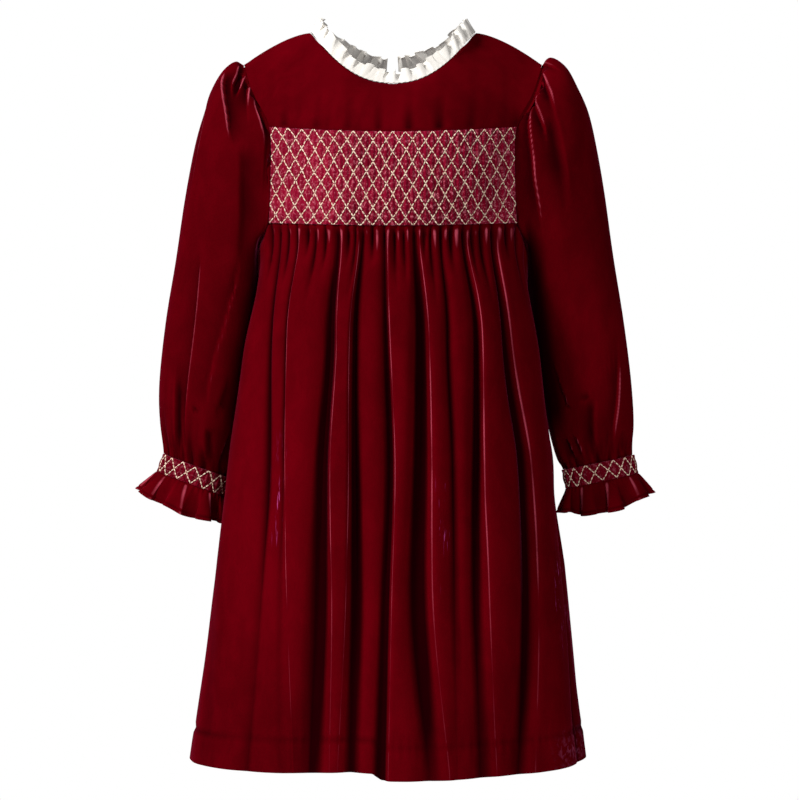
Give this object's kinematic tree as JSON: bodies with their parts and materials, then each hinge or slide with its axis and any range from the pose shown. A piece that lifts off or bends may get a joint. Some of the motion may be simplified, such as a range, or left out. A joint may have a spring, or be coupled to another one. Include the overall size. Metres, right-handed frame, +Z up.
{
  "type": "smocked long-sleeve dress",
  "caption": "Child's gathered velvet dress with a smocked chest panel, long bishop sleeves, smocked frilled cuffs and a white neck frill, hollow as if worn",
  "frame": {"origin": "midway between the two neck points of the shoulders, on the dress's middle plane, where the wearer's shoulders carry it", "axes": "+Z up from hem to neck, -Y towards the front, +X towards the wearer's left"},
  "size_m": [0.4708, 0.2528, 0.6671],
  "materials": {
    "velvet": "burgundy pile",
    "neck_frill": "ivory woven cotton",
    "button": "satin"
  },
  "bodies": {
    "root": {"front_yoke": "velvet", "smocked_chest_panel": "velvet", "front_skirt": "velvet", "back_skirt": "velvet", "back_yoke_left": "velvet", "back_yoke_right": "velvet", "sleeve_left": "velvet", "sleeve_right": "velvet", "cuff_smocking_left": "velvet", "cuff_smocking_right": "velvet", "cuff_frill_left": "velvet", "cuff_frill_right": "velvet", "neck_frill": "neck_frill", "neck_button": "button", "button_loop": "velvet"}
  },
  "joints": []
}
